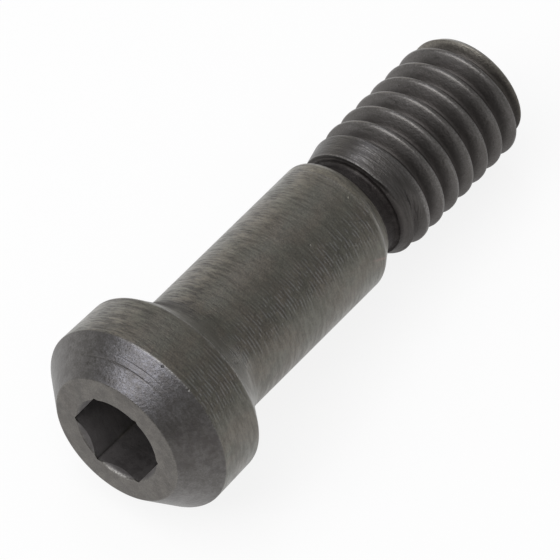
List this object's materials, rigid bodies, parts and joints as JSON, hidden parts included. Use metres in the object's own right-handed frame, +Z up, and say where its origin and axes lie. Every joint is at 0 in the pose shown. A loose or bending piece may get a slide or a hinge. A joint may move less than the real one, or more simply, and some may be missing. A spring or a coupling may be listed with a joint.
{
  "type": "clamp screw",
  "caption": "Short clamp screw with a double-cone round head, hexagon socket, plain shank, thread relief and coarse metric thread.",
  "frame": {"origin": "middle of the bounding box, on the surface that the screw lies on", "axes": "+Z up; +X along the screw from its head to its point, as it lies; a corner of the socket is turned 25 degrees from the top towards -Y"},
  "size_m": [0.0168, 0.006, 0.0061],
  "materials": {
    "blackened_steel": "black oxide over fine turning marks"
  },
  "bodies": {
    "root": {"clamp_screw": "blackened_steel"}
  },
  "joints": []
}
